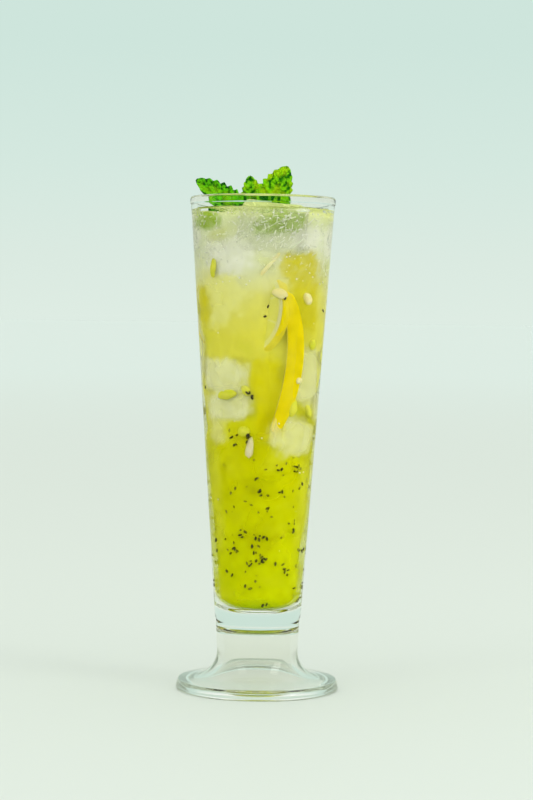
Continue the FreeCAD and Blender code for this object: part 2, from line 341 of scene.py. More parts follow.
def strewn(name, points, finish, slot, size, shape, spread, seed, sides=8):
    """One small rounded shape on each point, turned and sized at random."""
    tree = bpy.data.node_groups.new(name + "_strewn", "GeometryNodeTree")
    sockets = {}
    for label, kind in (("Geometry", "NodeSocketGeometry"), ("Size", "NodeSocketFloat"),
                        ("Shape", "NodeSocketVector"), ("Spread", "NodeSocketFloat"),
                        ("Seed", "NodeSocketInt")):
        sockets[label] = tree.interface.new_socket(name=label, in_out="INPUT", socket_type=kind)
    tree.interface.new_socket(name="Geometry", in_out="OUTPUT", socket_type="NodeSocketGeometry")
    graph = Graph(tree)
    given = tree.nodes.new("NodeGroupInput")
    asked = {label: Value(graph, given.outputs[label]) for label in sockets}
    grain = graph.add("GeometryNodeMeshUVSphere", {"Segments": sides, "Rings": sides * 5 // 8,
                                                   "Radius": asked["Size"]})
    grain = graph.add("GeometryNodeTransform", {"Geometry": grain, "Scale": asked["Shape"]})
    turn = graph.add("FunctionNodeRandomValue", {"Max": (6.283, 6.283, 6.283), "Seed": asked["Seed"]},
                     data_type="FLOAT_VECTOR")
    sizes = graph.add("FunctionNodeRandomValue", {2: 1.0 - asked["Spread"], 3: asked["Spread"] + 1.0,
                                                  "Seed": asked["Seed"]}, output=1, data_type="FLOAT")
    placed = graph.add("GeometryNodeInstanceOnPoints", {"Points": asked["Geometry"], "Instance": grain,
                                                        "Rotation": turn, "Scale": sizes})
    whole = graph.add("GeometryNodeRealizeInstances", {"Geometry": placed})
    smooth = graph.add("GeometryNodeSetShadeSmooth", {"Geometry": whole})
    coated = graph.add("GeometryNodeSetMaterial", {"Geometry": smooth, "Material": finish})
    graph.add("NodeGroupOutput", {0: coated})
    mesh = bpy.data.meshes.new(name)
    mesh.from_pydata([tuple(point * MM) for point in points], [], [])
    piece = bpy.data.objects.new(name, mesh)
    bpy.context.scene.collection.objects.link(piece)
    strewing = piece.modifiers.new("strewn", "NODES")
    strewing.node_group = tree
    for label, chosen in (("Size", size / 2 * MM), ("Shape", shape), ("Spread", spread), ("Seed", seed)):
        strewing[sockets[label].identifier] = chosen
    evaluated = piece.evaluated_get(bpy.context.evaluated_depsgraph_get())
    finished = bpy.data.meshes.new_from_object(evaluated)
    piece.modifiers.clear()
    piece.data = finished
    return settle(piece, slot)


# ---------------- finishes

def clear_finish(name, tint, index, gloss=8.0, ripple=0.0, crackle=0.0):
    """A clear surface: it bends light, and its shine grows towards its edges, later for a higher gloss power.

    The ripple is in millimetres, and so is the crackle of melting ice and froth near the drink's surface.
    """
    finish = Finish(name)
    waves = finish.noise(9, detail=1.0, stretch=(1, 1, 0.6)) * ripple
    if crackle:
        fine = finish.noise(1.8, roughness=0.6) * finish.noise(14, detail=1.0).ramp(0.35, 0.6)
        waves = waves + fine * finish.axes()[2].ramp(LEVEL - 26, LEVEL - 5, 0.0, crackle)
    skin = finish.bump(waves, 1.0)
    bent = finish.add("ShaderNodeBsdfRefraction", {"Color": tint, "Roughness": 0.0, "IOR": index,
                                                   "Normal": skin})
    mirrored = finish.add("ShaderNodeBsdfGlossy", {"Color": tint, "Roughness": 0.0, "Normal": skin})
    shine = finish.add("ShaderNodeFresnel", {"IOR": index, "Normal": skin}) ** gloss
    return finish.clear(finish.add("ShaderNodeMixShader", {0: shine, 1: bent, 2: mirrored}), tint)


def juice_colour(finish, height):
    """Pale at the top, yellow in the middle and a deep yellow green in the pulp."""
    uneven = height + 16 * (finish.noise(17, detail=3.0) - 0.5)
    share = (uneven - FLOOR_HEIGHT) / (LEVEL - FLOOR_HEIGHT)
    stops = [(0.00, sunk(150, 190, 8)), (0.03, sunk(186, 202, 0)), (0.20, sunk(190, 200, 0)),
             (0.34, sunk(190, 195, 0)), (0.42, sunk(194, 196, 0)), (0.48, sunk(194, 194, 8)),
             (0.55, sunk(208, 206, 52)), (0.70, sunk(214, 207, 56)), (0.79, sunk(214, 210, 84)),
             (0.86, sunk(212, 220, 158)), (0.92, sunk(206, 216, 166)), (0.97, sunk(196, 208, 142)),
             (1.00, sunk(196, 206, 130))]
    base = finish.add("ShaderNodeValToRGB", {"Fac": share}, stops=stops)
    olive = finish.noise(15, detail=3.0).ramp(0.56, 0.74, 0.0, 0.4)
    deep = finish.blend(olive, base, sunk(176, 184, 8))
    glow = finish.noise(21).ramp(0.55, 0.75, 0.0, 0.4)
    cloud = finish.blend(glow, deep, sunk(214, 216, 30))
    patch_tone = finish.add("ShaderNodeAttribute", output="Color", attribute_name="patch_tone")
    patch_share = finish.add("ShaderNodeAttribute", output="Fac", attribute_name="patch_share")
    mottle = finish.noise(4, detail=4.0, roughness=0.65).ramp(0.36, 0.6, 0.72, 1.0)
    return finish.blend(patch_share * mottle, cloud, patch_tone)


def cloud_finish():
    """The cloudy body of the drink."""
    finish = Finish("cloudy_juice")
    height = finish.axes()[2]
    grain = finish.noise(9)
    return finish.surface(Base_Color=juice_colour(finish, height), Roughness=0.9, IOR=1.0,
                          Normal=finish.bump(grain, 0.2, 0.3))


def veil_finish(name, thinnest, thickest):
    """A thin cloud in front of the body: patchy, and thinner above the pulp."""
    finish = Finish(name)
    height = finish.axes()[2]
    patch = finish.noise(15).ramp(0.3, 0.75, thinnest, thickest)
    fade = height.ramp(LEVEL - 24, LEVEL - 4, 1.0, 0.6)
    thin = height.ramp(PULP_HEIGHT - 4, PULP_HEIGHT + 16, 1.0, 0.5)
    return finish.surface(Base_Color=juice_colour(finish, height), Roughness=0.9, IOR=1.0,
                          Alpha=patch * fade * thin)


def seed_finish():
    finish = Finish("kiwi_seed")
    tone = finish.noise(0.8)
    brown = finish.blend(tone.ramp(0.45, 0.7), colour(16, 13, 8), colour(52, 38, 16))
    return finish.surface(Base_Color=brown, Roughness=0.35)


def ice_finish():
    """Ice in the drink bends next to no light: it is a pale haze with bright cracks and air in it."""
    finish = Finish("clear_ice")
    drift = finish.add("ShaderNodeTexNoise", {"Vector": finish.place, "Scale": 300}, output=1) * 0.006
    wander = finish.add("ShaderNodeVectorMath", {0: finish.place, 1: drift}, operation="ADD")
    crack = finish.cells(15, feature="DISTANCE_TO_EDGE", place=wander).ramp(0.0, 0.03, 0.5, 0.0)
    air = finish.cells(1.5).ramp(0.12, 0.26, 0.7, 0.0) * finish.noise(7).ramp(0.48, 0.6)
    haze = finish.noise(8, detail=3.0).ramp(0.35, 0.7, 0.03, 0.22)
    top = finish.axes()[2].ramp(LEVEL - 1.5, LEVEL + 1.5, 0.0, 0.45)
    thickness = finish.add("ShaderNodeMath", {0: crack + air + haze + top, 1: 0.85}, operation="MINIMUM")
    return finish.surface(Base_Color=colour(238, 244, 208), Roughness=0.35, IOR=SUNK_INDEX, Alpha=thickness,
                          Normal=finish.bump(finish.noise(2.2, detail=4.0, roughness=0.7), 0.4, 0.8))


def sunk_ice_finish():
    """A block in the cloud: palest where it faces the glass, lost in the cloud towards its sides."""
    finish = Finish("cloudy_ice")
    patch = finish.noise(9, detail=3.0)
    outer = finish.add("ShaderNodeAttribute", output="Fac", attribute_name="outer")
    reach = (outer + 0.5 * (finish.noise(9, detail=3.0) - 0.5)).ramp(0.02, 0.5, 0.0, 0.32)
    tone = finish.blend(patch.ramp(0.38, 0.66), sunk(246, 248, 160), sunk(242, 246, 176))
    return finish.surface(Base_Color=tone, Roughness=0.3, IOR=SUNK_INDEX, Alpha=reach,
                          Normal=finish.bump(patch, 0.2, 0.5))


def leaf_finish(name, dark, bright, warm, index):
    """A mint leaf: painted light on its swells and painted shade in its grooves and along its rib, over
    random specks, with warmer patches and a net of veins.
    """
    finish = Finish(name)
    swell = finish.add("ShaderNodeAttribute", output="Fac", attribute_name="swell")
    speck = finish.noise(1.6, detail=4.0, roughness=0.6)
    # Painted light and shade: the swell mark makes the leaf bright on its raised quilting and dark in its
    # grooves
    tone = finish.blend((swell + 0.9 * (speck - 0.5)).ramp(0.1, 0.75), dark, bright)
    patch = finish.noise(5, detail=3.0).ramp(0.46, 0.66, 0.0, 0.7)
    net = finish.cells(1.5, feature="DISTANCE_TO_EDGE").ramp(0.0, 0.12)
    return finish.surface(Base_Color=finish.blend(patch, tone, warm), Roughness=0.42, IOR=index,
                          Normal=finish.bump(net, 0.35, 0.8))


def plain_finish(name, first, second, size):
    """Two tones in soft patches of one size."""
    finish = Finish(name)
    patch = finish.noise(size, detail=3.0)
    return finish.surface(Base_Color=finish.blend(patch.ramp(0.38, 0.66), first, second),
                          Roughness=0.45, IOR=SUNK_INDEX, Normal=finish.bump(patch, 0.2, 0.6))


# ---------------- the glass and the liquid

def make_glass():
    points, faces = lathed(rounded(GLASS_PROFILE), GLASS_SIDES, closed=True)
    tint = colour(253, 253, 251)
    glass = solid("footed_glass", points, faces, clear_finish("pressed_glass", tint, GLASS_INDEX, 1.7, 0.05),
                  "glass", "glass", sharp=50)
    glass.data.materials.append(clear_finish("wetted_glass", (1, 1, 1, 1), GLASS_INDEX))
    glass.data.materials.append(clear_finish("foot_glass", tint, GLASS_INDEX, 1.0, 0.05))
    kinds = []
    for face in glass.data.polygons:
        height, radius = face.center.z / MM, face.center.xy.length / MM
        wetted = FLOOR_HEIGHT - 0.5 < height < LEVEL and radius < bowl_radius(height) + 0.3
        kinds.append(1 if wetted else 2 if height < FOOT_TOP else 0)
    glass.data.polygons.foreach_set("material_index", kinds)


def ice_top(across, away):
    """Height of the ice cube's upper side above a point, with its melted edge, or nothing beside it."""
    normal = ICE_TURN @ Vector((0, 0, 1))
    middle = ICE_CENTRE + normal * ICE_SIZE.z / 2
    height = middle.z - (normal.x * (across - middle.x) + normal.y * (away - middle.y)) / normal.z
    local = ICE_TURN.transposed() @ (Vector((across, away, height)) - ICE_CENTRE)
    outside = Vector((max(0.0, abs(local.x) - ICE_SIZE.x / 2 + ICE_ROUND),
                      max(0.0, abs(local.y) - ICE_SIZE.y / 2 + ICE_ROUND))).length
    if outside >= ICE_ROUND:
        return LEVEL - 3.0
    return height - ICE_ROUND + math.sqrt(ICE_ROUND ** 2 - outside ** 2)


def liquid_top(turn, radius):
    """The drink's surface: it climbs a little at the wall and lies as a film over the ice."""
    across, away = radius * math.sin(turn), -radius * math.cos(turn)
    wall = bowl_radius(LEVEL) - radius
    rise = MENISCUS * math.exp(-max(0.0, wall) / 1.1) + 0.10 * math.sin(0.35 * across + 0.2 * away)
    over = ice_top(across, away) + 0.12
    film = LEVEL + 0.45 * math.log(1 + math.exp((over - LEVEL) / 0.45))
    return radius, max(LEVEL + rise, film + 0.5 * rise)


def make_liquid():
    """The drink's clear outer body, which reaches just into the glass wall."""
    rim = bowl_radius(LEVEL)
    bottom = FLOOR_HEIGHT - WALL_OVERLAP
    outline = rounded([
        (0, bottom, 0), (FLOOR_RADIUS + WALL_OVERLAP, bottom, 9.0),
        (bowl_radius(LEVEL + MENISCUS) + WALL_OVERLAP, LEVEL + MENISCUS, 0), (0, LEVEL, 0)])
    body = [point for point in outline if point.y < LEVEL - 0.5] + [Vector((rim + WALL_OVERLAP, LEVEL + 0.6))]
    rings = [Vector((rim * (1 - (step / 90) ** 1.15), LEVEL)) for step in range(1, 91)]

    def shape(turn, radius, height):
        if height < LEVEL - 0.4 or radius > rim:
            return radius, height
        return liquid_top(turn, radius)

    points, faces = lathed(body + rings, JUICE_SIDES, shape)
    juice = solid("clear_juice", points, faces,
                  clear_finish("juice_at_glass", (1, 1, 1, 1), JUICE_INDEX, crackle=1.3), "juice", "juice",
                  sharp=80)
    juice.data.materials.append(clear_finish("juice_surface", colour(246, 249, 222), JUICE_INDEX, 1.4, 0.1))
    top = [int(face.center.z / MM > LEVEL - 0.3 and face.center.xy.length / MM < rim + 0.02)
           for face in juice.data.polygons]
    juice.data.polygons.foreach_set("material_index", top)


# ---------------- the cloud in the drink

# Hollows in the cloud where large things lie: angle, height, half angle, half height, depth
HOLLOWS = [(36, 149, 40, 46, 4.0), (8, 207, 50, 18, 3.4)]

# Things that show through the cloud as soft patches, and painted light and shade: colour, then angle, height,
# half width and half height of each
PATCHES = [
    # Painted light: the first spot is a pale patch that lightens the drink's left side, where less light
    # falls
    (sunk(230, 230, 112), [(-48, 176, 14, 13), (-64, 116.5, 7, 7), (160, 180, 12, 12)]),
    (sunk(206, 210, 30), [(-70, 88, 4, 22), (74, 84, 3.4, 22)]),
    (sunk(248, 252, 160), [(-54, 141.5, 15, 8.5), (-46, 127, 16.5, 6.5), (150, 140, 10, 11),
                           (-150, 122, 11, 9)]),
    (sunk(232, 234, 126), [(68, 141, 12, 13.5), (48, 114.5, 14, 9), (105, 128, 9, 8), (-104, 150, 9, 11)]),
    (sunk(234, 238, 204), [(51, 201.5, 9, 5.5), (-38, 193, 13, 9), (-100, 204, 14, 8), (100, 200, 12, 8),
                           (170, 204, 14, 7)]),
    (sunk(198, 188, 0), [(11, 132, 8.4, 19), (205, 172, 10, 14), (-80, 172, 8, 8)]),
    # Painted shade: the yellow of the patches above, made darker for the right side, where the light is
    # stronger
    (sunk(184, 172, 0), [(50, 176, 11, 20), (42, 189, 13, 7)]),
    (sunk(168, 174, 0), [(0, 92, 9, 5), (2, 70, 9, 7), (130, 88, 9, 6), (-130, 74, 10, 7)]),
    (sunk(112, 146, 14), [(2, 205, 6, 3.4), (14, 207, 8, 4.6), (30, 208.6, 8, 4.4), (-67, 209, 11, 3.6),
                          (140, 206, 12, 5), (210, 208, 10, 4)])]


def patch_paint(point):
    """Colour of the patches at a point of the cloud, and how far it hides the cloud's own."""
    angle = math.degrees(math.atan2(point.x, -point.y))
    lump = noise.noise(point * 0.13) + 0.6 * noise.noise(point * 0.31) + 0.5 * noise.noise(point * 0.62)
    tone, bare = Vector((0, 0, 0, 0)), 1.0
    for paint, spots in PATCHES:
        for middle, height, half_width, half_height in spots:
            aside = ((angle - middle + 180) % 360 - 180) * math.pi / 180 * bowl_radius(height) / half_width
            above = (point.z - height) / half_height
            reach = (abs(aside) ** 3 + abs(above) ** 3) ** (1 / 3) + 0.36 * lump
            share = 1 - smooth_step(0.74, 1.12, reach)
            tone = tone.lerp(Vector(paint), share / (1 - bare * (1 - share)) if share else 0.0)
            bare *= 1 - share
    return tone, PATCH_COVER * (1 - bare)


def painted(piece):
    """Adds the patches to a piece of the cloud."""
    paints = [patch_paint(vertex.co / MM) for vertex in piece.data.vertices]
    mark(piece, "patch_tone", [part for tone, _ in paints for part in tone], "FLOAT_COLOR", "color")
    mark(piece, "patch_share", [share for _, share in paints])


def cloud_shape(rough, shift):
    """Makes a turned outline uneven, and sinks it where the hollows are."""
    def shape(turn, radius, height):
        angle = math.degrees(turn)
        point = Vector((radius * math.sin(turn), -radius * math.cos(turn), height))
        lump = noise.noise(point * 0.07 + shift) + 0.5 * noise.noise(point * 0.19 + shift)
        radius += rough * lump * min(1.0, radius / 8)
        for middle, up, half_angle, half_height, depth in HOLLOWS:
            aside = ((angle - middle + 180) % 360 - 180) / half_angle
            above = (height - up) / half_height
            reach = 1 - smooth_step(0.55, 1.0, max(abs(aside), abs(above)))
            radius -= depth * reach * min(1.0, radius / 12)
        return max(0.3, radius), height + 0.6 * rough * lump
    return shape


def cloud_outline(inset, bottom, top, top_round):
    """Half a section of a piece of the cloud, which follows the bowl at an inset."""
    return rounded([(0, bottom, 0), (bowl_radius(bottom) - inset, bottom, 8.0),
                    (bowl_radius(top) - inset, top, top_round), (0, top, 0)], run=1.2)


def make_clouds():
    cloud = cloud_finish()
    points, faces = lathed(cloud_outline(4.4, FLOOR_HEIGHT + 0.9, PULP_HEIGHT + 8, 5.0), CLOUD_SIDES,
                           cloud_shape(0.7, Vector((3, 1, 7))))
    painted(solid("pulp_mass", points, faces, cloud, "kiwi_pulp", "kiwi_pulp"))
    points, faces = lathed(cloud_outline(4.4, PULP_HEIGHT - 6, LEVEL - 1.0, 2.0), JUICE_SIDES,
                           cloud_shape(0.8, Vector((9, 4, 2))))
    painted(solid("juice_mass", points, faces, cloud, "juice"))
    for name, inset, thinnest, thickest in (("pulp_veil_inner", 2.8, 0.3, 0.75),
                                            ("pulp_veil_outer", 1.5, 0.04, 0.28)):
        points, faces = lathed(cloud_outline(inset, FLOOR_HEIGHT + 0.5, LEVEL - 1.5, 3.0), CLOUD_SIDES)
        painted(solid(name, points, faces, veil_finish(name, thinnest, thickest), "kiwi_pulp"))


# ---------------- ice

def block(name, size, rounding, centre, turn, finish, slot, *nodes):
    """A melted block of ice: a rounded box with an uneven skin. The outer attribute marks its front."""
    points, faces, found, outer = [], [], {}, []
    half = size / 2
    steps = 22
    for axis in range(3):
        for side in (-1, 1):
            grid = []
            for row in range(steps + 1):
                line = []
                for column in range(steps + 1):
                    spot = Vector((0, 0, 0))
                    spot[axis] = side
                    spot[(axis + 1) % 3] = 2 * row / steps - 1
                    spot[(axis + 2) % 3] = 2 * column / steps - 1
                    key = tuple(round(part, 4) for part in spot)
                    if key not in found:
                        corner = Vector([part * reach for part, reach in zip(spot, half)])
                        inner = Vector([max(-reach + rounding, min(reach - rounding, part))
                                        for part, reach in zip(corner, half)])
                        skin = inner + (corner - inner).normalized() * rounding
                        skin += (corner - inner).normalized() * 0.35 * noise.noise(skin * 0.22 + centre)
                        found[key] = len(points)
                        points.append(centre + turn @ skin)
                        aside = (abs(corner.x / half.x) ** 3 + abs(corner.z / half.z) ** 3) ** (1 / 3)
                        outer.append(max(0.0, -(corner - inner).normalized().y) * (1.15 - aside))
                    line.append(found[key])
                grid.append(line)
            for row in range(steps):
                for column in range(steps):
                    faces.append([grid[row][column], grid[row + 1][column],
                                  grid[row + 1][column + 1], grid[row][column + 1]])
    piece = solid(name, points, faces, finish, slot, *nodes)
    mark(piece, "outer", outer)
    return piece


def make_ice():
    clear = ice_finish()
    cloudy = sunk_ice_finish()
    block("floating_ice", ICE_SIZE * 0.985, ICE_ROUND, ICE_CENTRE, ICE_TURN, clear, "ice", "ice_cube")
    # Sunk blocks: angle, height, inset of the middle, size, lean
    for number, (angle, height, inset, size, lean) in enumerate((
            (-50, 141.5, 8.6, (24, 9, 18), 3), (-44, 127, 8.4, (24, 9, 13), -4),
            (64, 141, 8.6, (19, 9, 26), -5), (45, 114.5, 8.2, (27, 9, 18), 10),
            (150, 140, 8.4, (20, 9, 22), 8), (-150, 122, 8.4, (22, 9, 18), -7),
            (105, 128, 8.4, (18, 9, 16), 4), (-104, 150, 8.4, (18, 9, 22), 8))):
        turn = Matrix.Rotation(math.radians(angle), 3, "Z") @ Matrix.Rotation(math.radians(lean), 3, "Y")
        block(f"sunk_ice_{number + 1}", Vector(size), 3.9, in_drink(angle, height, inset), turn, cloudy,
              "ice")


# ---------------- mint

def half_width(share, width):
    """Half of a leaf's width at a share of its length: a bare stalk, then the blade to its blunt tip."""
    blade = max(0.0, (share - 0.07) / 0.93) ** 0.8
    return width / 2 * math.sin(math.pi * blade) ** (0.85 if blade < 0.5 else 0.6)


def leaf(name, foot, along, facing, length, width, arch, finish, *nodes):
    """A mint leaf: toothed, folded along its midrib, quilted between its veins."""
    along, facing = Vector(along).normalized(), Vector(facing)
    upward = (facing - along * facing.dot(along)).normalized()
    sideways = upward.cross(along)
    rows, columns = LEAF_STEPS
    points, leaf_light_and_shade = [], []
    for layer in (0, 1):
        for row in range(rows + 1):
            share = row / rows
            phase = share * LEAF_TEETH % 1
            saw = 1 - phase / 0.7 if phase < 0.7 else (phase - 0.7) / 0.3
            half = max(0.6, half_width(share, width) * (1 - 0.17 * saw))
            for column in range(columns + 1):
                across = 2 * column / columns - 1
                spread = across * half
                aside = abs(spread) / (width / 2)
                vein = LEAF_VEINS * (share - 0.35 * aside)
                groove = math.exp(-((vein % 1 - 0.5) / 0.07) ** 2) * min(1, 4 * aside)
                rib = math.exp(-(spread / 0.45) ** 2)
                quilt = math.cos(2 * math.pi * vein) * min(1, 3 * aside)
                spot = Vector((share * length, spread, 7 * len(name)))
                crinkle = noise.noise(spot * 0.55) + 0.6 * noise.noise(spot * 1.1)
                fold = 0.22 * width * (math.sqrt(aside ** 2 + 0.02) - math.sqrt(0.02))
                lift = fold - arch * share ** 2 + 0.35 * quilt * (1 - share) - 0.22 * groove - 0.25 * rib
                lift += 0.32 * crinkle * min(1, 5 * (1 - abs(across))) + LEAF_THICKNESS * (1 - layer)
                points.append(foot + along * spot.x + sideways * spread + upward * lift)
                # Painted light and shade for the finish: lighter on crinkled swells, darker in the grooves
                # and along the midrib
                leaf_light_and_shade.append(0.5 + 0.1 * quilt + 0.75 * crinkle - 0.3 * groove - 0.2 * rib)
    faces = []
    wide = columns + 1
    layer_size = wide * (rows + 1)
    for row in range(rows):
        for column in range(columns):
            corner = row * wide + column
            faces.append([corner + step for step in (0, 1, wide + 1, wide)])
            faces.append([layer_size + corner + step for step in (0, wide, wide + 1, 1)])
    edge = [*range(columns), *(row * wide + columns for row in range(rows)),
            *(rows * wide + column for column in range(columns, 0, -1)),
            *(row * wide for row in range(rows, 0, -1))]
    for start, end in zip(edge, edge[1:] + edge[:1]):
        faces.append([start, start + layer_size, end + layer_size, end])
    piece = solid(name, points, faces, finish, "mint", *nodes)
    mark(piece, "swell", leaf_light_and_shade)
    return piece


def make_mint():
    fresh = leaf_finish("fresh_mint", colour(18, 104, 0), colour(124, 206, 2), colour(170, 208, 8), 1.16)
    # Painted shade: the left leaf gets a darker copy of the fresh mint finish
    deep = leaf_finish("fresh_mint_painted_shade", colour(8, 84, 0), colour(92, 190, 2), colour(132, 198, 6), 1.16)
    drowned = leaf_finish("drowned_mint", sunk(112, 152, 36), sunk(150, 182, 70), sunk(172, 190, 84),
                          SUNK_INDEX)
    # Foot from the sprig's top, direction, facing, length, width, arch
    for side, foot, along, facing, length, width, arch, finish in (
            ("right", (LEAF_GAP, 0, 0), (10.6, -1.0, 28.5), (-0.3, -1.0, 0.1), 30.5, 18.0, 1.0, fresh),
            ("middle", (0, LEAF_GAP, 0), (-5.0, 7.0, 25.5), (-0.2, -1.0, 0.25), 26.0, 12.0, 0.6, fresh),
            ("left", (-LEAF_GAP, 0, 0), (-27.5, -5.0, 22.5), (0.1, -1.0, 0.7), 35.0, 16.0, 0.5, deep)):
        leaf("mint_leaf_fresh_" + side, SPRIG_TOP + Vector(foot), along, facing, length, width, arch, finish,
             "mint_leaf_" + side)
    # Leaves under the surface: foot, direction, facing, length, width
    for number, (foot, along, facing, length, width) in enumerate((
            (in_drink(140, 203, 2.0), (-14, -12, 2), (0.7, 1, 0.2), 24, 13),
            (in_drink(185, 209, 2.0), (-14, -4, -3), (0.0, 1, 0.2), 20, 10))):
        leaf(f"sunk_leaf_{number + 1}", foot, along, facing, length, width, 0.3, drowned)
    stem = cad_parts["mint_stem"]
    stem.data.materials.clear()
    stem.data.materials.append(plain_finish("mint_stalk", colour(96, 128, 30), colour(122, 150, 44), 1.5))


# ---------------- lemon

def make_wedge():
    """The lemon wedge: its rind bows towards the glass on the right, its flesh points inwards."""
    zest = plain_finish("lemon_zest", sunk(234, 196, 0), sunk(212, 180, 0), 4)
    pith = plain_finish("lemon_pith", sunk(222, 218, 150), sunk(214, 214, 128), 4)
    flesh = plain_finish("lemon_flesh", sunk(204, 198, 0), sunk(194, 190, 0), 6)
    outward = Vector((math.sin(WEDGE_FACE), -math.cos(WEDGE_FACE), 0))
    sideways = Vector((outward.y, -outward.x, 0))
    rows, around = WEDGE_STEPS
    points, faces, kinds = [], [], []
    for row in range(rows + 1):
        share = 2 * row / rows - 1
        swell = math.sqrt(max(0.0, 1 - share ** 2)) ** 0.5 + 0.02
        spine = in_drink(39 - 17 * share ** 2 + 4 * share, 147 + 31 * share, 2.4 + 1.0 * share ** 2)
        for step in range(around):
            turn = 2 * math.pi * step / around
            wide, deep = WEDGE_HALF_WIDTH * swell * math.sin(turn), math.cos(turn)
            depth = 0.9 * deep if deep > 0 else WEDGE_DEPTH * swell * deep
            taper = 1.0 if deep > 0 else 1 + 0.55 * deep
            points.append(spine + sideways * wide * taper + outward * depth)
    for row in range(rows):
        for step in range(around):
            following = (step + 1) % around
            faces.append([row * around + step, row * around + following,
                          (row + 1) * around + following, (row + 1) * around + step])
            kinds.append(0 if step in (*range(0, 7), *range(around - 7, around)) else
                         1 if step in (7, 8, around - 8, around - 9) else 2)
    faces += [list(range(around)), [rows * around + step for step in range(around)]]
    kinds += [2, 2]
    wedge = solid("lemon_wedge", points, faces, zest, "kiwi_pulp")
    wedge.data.materials.append(pith)
    wedge.data.materials.append(flesh)
    wedge.data.polygons.foreach_set("material_index", kinds)


def make_wheel():
    """A round lemon slice behind the wedge, its right side near the glass and its left in the cloud."""
    outline = rounded([(0, -2.4, 0), (WHEEL_RADIUS, -2.4, 1.2), (WHEEL_RADIUS, 2.4, 1.2), (0, 2.4, 0)])
    points, faces = lathed(outline, 96)
    finish = Finish("lemon_wheel")
    local = finish.turned_place(WHEEL_PLACE, WHEEL_TURN.to_euler())
    flat = finish.add("ShaderNodeVectorMath", {0: local, 1: (1, 1, 0)}, operation="MULTIPLY")
    radius = finish.add("ShaderNodeVectorMath", {0: flat}, output="Value", operation="LENGTH") * 1000
    across, along = [finish.add("ShaderNodeSeparateXYZ", {0: local}, output=axis) for axis in (0, 1)]
    angle = finish.add("ShaderNodeMath", {0: along, 1: across}, operation="ARCTAN2")
    # Ten segments with a pale wall between each two
    wave = finish.add("ShaderNodeMath", {0: angle * 5}, operation="COSINE")
    wave = finish.add("ShaderNodeMath", {0: wave}, operation="ABSOLUTE")
    wall = wave.ramp(0.0, 0.22, 0.8, 0.0) * radius.ramp(3, 8)
    pulp = finish.blend(finish.noise(4, detail=3.0), sunk(214, 214, 96), sunk(206, 208, 70))
    tone = finish.blend(wall, pulp, sunk(220, 222, 140))
    tone = finish.blend(radius.ramp(18.8, 19.4), tone, sunk(222, 221, 150))
    tone = finish.blend(radius.ramp(20.9, 21.3), tone, sunk(222, 190, 4))
    finish.surface(Base_Color=tone, Roughness=0.4, IOR=SUNK_INDEX,
                   Normal=finish.bump(finish.noise(2.4), 0.3, 0.7))
    solid("lemon_wheel", [WHEEL_PLACE + WHEEL_TURN @ point for point in points], faces, finish.material,
          "kiwi_pulp")


# ---------------- seeds, pips, bits and bubbles

# Seeds that lie together: angle, height, how far they spread, how many
SEED_CLUSTERS = [
    (-29, 110, 1.2, 2), (25, 100, 1.4, 2), (49, 100, 1.2, 2), (-7, 95, 0.8, 1), (1, 89, 1.6, 3),
    (30, 90, 1.8, 2), (64, 92, 1.5, 2), (8, 82, 1.5, 2), (45, 75, 1.2, 1), (54, 72, 1.2, 2),
    (-22, 70, 1.4, 2), (0, 70, 2.2, 4), (8, 69, 1.2, 1), (-70, 68, 0.8, 1), (-10, 66, 0.6, 1),
    (-72, 62, 0.8, 1), (-41, 63, 1.6, 3), (0, 61, 2.4, 5), (-15, 58, 1.6, 4), (8, 60, 1.4, 2),
    (26, 59, 1.0, 1), (38, 56, 2.2, 4), (48, 54, 1.2, 2), (-50, 54, 0.8, 1), (-39, 53, 0.9, 1),
    (-15, 48.5, 1.8, 2), (62, 46, 0.8, 1), (11, 40, 1.0, 2), (80, 63, 1.4, 2), (23, 175, 0.4, 1),
    (6, 171, 0.4, 1), (4, 167, 0.4, 1), (-11, 132, 1.6, 4), (-31, 115, 1.4, 2), (-14, 114, 2.2, 4)]


def crowded(chance, count, angles, start, rise, power, insets):
    """Places at random between two angles, which crowd towards their starting height."""
    places = []
    for _ in range(count):
        height = start + rise * chance.random() ** power
        places.append(in_drink(chance.uniform(*angles), height, chance.uniform(*insets)))
    return places


def even(chance, count, angles, heights, insets):
    """Places at random between two angles, two heights and two insets."""
    return [in_drink(chance.uniform(*angles), chance.uniform(*heights), chance.uniform(*insets))
            for _ in range(count)]


def make_seeds():
    chance = random.Random(21)
    near = []
    for angle, height, spread, count in SEED_CLUSTERS:
        for number in range(count):
            lean = spread * chance.uniform(-1, 1) * 180 / (math.pi * bowl_radius(height))
            inset = chance.uniform(0.7, 1.2) if number % 2 == 0 else chance.uniform(1.2, 2.8)
            near.append(in_drink(angle + lean, height + spread * chance.uniform(-1, 1), inset))
    # The drink's back has no clusters
    near += crowded(chance, 140, (112, 248), FLOOR_HEIGHT + 3, 74, 1.25, (0.7, 2.6))
    deep = crowded(chance, 60, (0, 360), FLOOR_HEIGHT + 3, 80, 1.1, (3.1, 4.6))
    deep += even(chance, 48, (-62, 62), (48, 104), (2.9, 3.3))
    near += even(chance, 26, (70, 290), (112, 190), (1.0, 3.0))
    seeds = seed_finish()
    strewn("kiwi_seeds_near", near, seeds, "kiwi_pulp", SEED_LENGTH, SEED_SHAPE, 0.14, 4)
    strewn("kiwi_seeds_deep", deep, seeds, "kiwi_pulp", SEED_LENGTH, SEED_SHAPE, 0.14, 9)


def ball(steps, sides):
    """Points and faces of a ball of radius 1."""
    section = [Vector((math.sin(math.pi * step / steps), -math.cos(math.pi * step / steps)))
               for step in range(steps + 1)]
    return lathed(section, sides)


